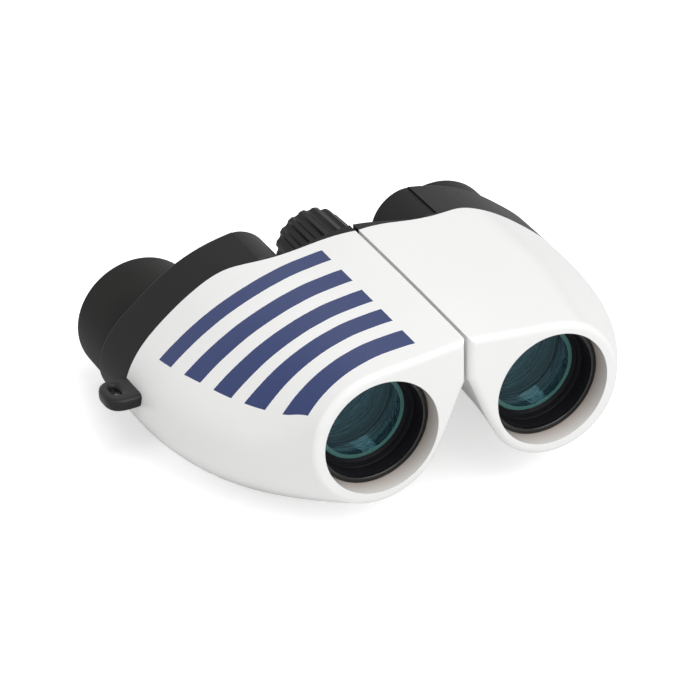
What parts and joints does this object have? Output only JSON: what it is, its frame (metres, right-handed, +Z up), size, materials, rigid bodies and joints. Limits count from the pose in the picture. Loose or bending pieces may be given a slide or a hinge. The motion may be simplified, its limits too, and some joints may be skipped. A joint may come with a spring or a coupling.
{
  "type": "binoculars",
  "caption": "Compact centre-focus binoculars: two glossy halves about a centre hinge, dark rear covers, ribbed focus wheel, soft eyecups and a strap lug.",
  "frame": {"origin": "below the middle of the overall box, on the level of the lowest surface", "axes": "+X towards the user's left half, +Y from the objectives to the eyepieces, +Z up, as the binoculars lie hinge side up"},
  "size_m": [0.101, 0.0762, 0.0383],
  "materials": {
    "shell_white": "glossy white moulding with printed navy stripes on the user's right half",
    "lug_black": "satin black moulding",
    "cover_black": "fine matt black",
    "eyecup_rubber": "soft matt black rubber",
    "wheel_black": "satin black",
    "ring_black": "matt black",
    "tube_black": "black anodised",
    "baffle_black": "flat black",
    "objective_glass": "blue-green anti-reflection coating",
    "eyepiece_glass": "coated",
    "prism_glass": "polished",
    "plate_alloy": "die cast",
    "arm_alloy": "stamped",
    "spring_steel": "bare",
    "screw_steel": "zinc plated",
    "tube_steel": "ground",
    "nut_brass": "turned"
  },
  "bodies": {
    "right_half": {"hinge_nut": "screw_steel", "hinge_tube": "tube_steel", "hinge_washers": "screw_steel", "right_baffle": "baffle_black", "right_cover_screws": "screw_steel", "right_front_prism": "prism_glass", "right_front_shell": "shell_white", "right_objective_tube": "tube_black", "right_plate_screws": "screw_steel", "right_prism_plate": "plate_alloy", "right_prism_straps": "spring_steel", "right_rear_cover": "cover_black", "right_rear_prism": "prism_glass", "strap_lug": "lug_black"},
    "left_half": {"left_baffle": "baffle_black", "left_cover_screws": "screw_steel", "left_eye_lens": "eyepiece_glass", "left_eye_ring": "tube_black", "left_eyecup": "eyecup_rubber", "left_eyepiece_collar": "ring_black", "left_eyepiece_tube": "tube_black", "left_field_lens": "eyepiece_glass", "left_field_stop": "tube_black", "left_front_prism": "prism_glass", "left_front_shell": "shell_white", "left_lens_spacer": "tube_black", "left_objective_tube": "tube_black", "left_plate_screws": "screw_steel", "left_prism_plate": "plate_alloy", "left_prism_straps": "spring_steel", "left_rear_cover": "cover_black", "left_rear_prism": "prism_glass"},
    "focus_wheel": {"focus_wheel": "wheel_black", "focus_spindle": "tube_steel", "spindle_clip": "screw_steel", "wheel_cap": "wheel_black", "wheel_screw": "screw_steel"},
    "right_objective": {"focus_nut": "nut_brass", "right_focus_arm": "arm_alloy", "right_objective_cell": "tube_black", "right_objective_ring": "tube_black", "right_crown_lens": "objective_glass", "right_flint_lens": "objective_glass"},
    "left_objective": {"left_focus_arm": "arm_alloy", "left_objective_cell": "tube_black", "left_objective_ring": "tube_black", "left_crown_lens": "objective_glass", "left_flint_lens": "objective_glass"},
    "dioptre_ring": {"dioptre_ring": "ring_black", "right_eyecup": "eyecup_rubber"},
    "right_eyepiece": {"right_eyepiece_tube": "tube_black", "right_field_stop": "tube_black", "right_field_lens": "eyepiece_glass", "right_lens_spacer": "tube_black", "right_eye_lens": "eyepiece_glass", "right_eye_ring": "tube_black"}
  },
  "joints": [
    {"name": "eye_spacing", "type": "hinge", "parent": "right_half", "child": "left_half", "pos_m": [0.00286, -0.0081, 0.02555], "axis": [0, 1, 0], "range_deg": [0, 32]},
    {"name": "focus_turn", "type": "hinge", "parent": "right_half", "child": "focus_wheel", "pos_m": [0.00286, 0.0179, 0.02555], "axis": [0, 1, 0], "range_deg": [-240, 40]},
    {"name": "focus_travel", "type": "slide", "parent": "right_half", "child": "right_objective", "axis": [0, 1, 0], "range_m": [-0.0024, 0.0004]},
    {"name": "left_focus_travel", "type": "slide", "parent": "left_half", "child": "left_objective", "axis": [0, 1, 0], "range_m": [-0.0024, 0.0004]},
    {"name": "dioptre_turn", "type": "hinge", "parent": "right_half", "child": "dioptre_ring", "pos_m": [-0.02994, 0.0269, 0.0126], "axis": [0, 1, 0], "range_deg": [-50, 50]},
    {"name": "dioptre_feed", "type": "slide", "parent": "right_half", "child": "right_eyepiece", "axis": [0, 1, 0], "range_m": [-0.00055, 0.00055]}
  ],
  "couplings": [
    {"joint": "focus_turn", "follows": "focus_travel", "rad_per_m": 1745.3},
    {"joint": "left_focus_travel", "follows": "focus_travel", "ratio": 1},
    {"joint": "dioptre_feed", "follows": "dioptre_turn", "m_per_rad": 0.00063}
  ]
}
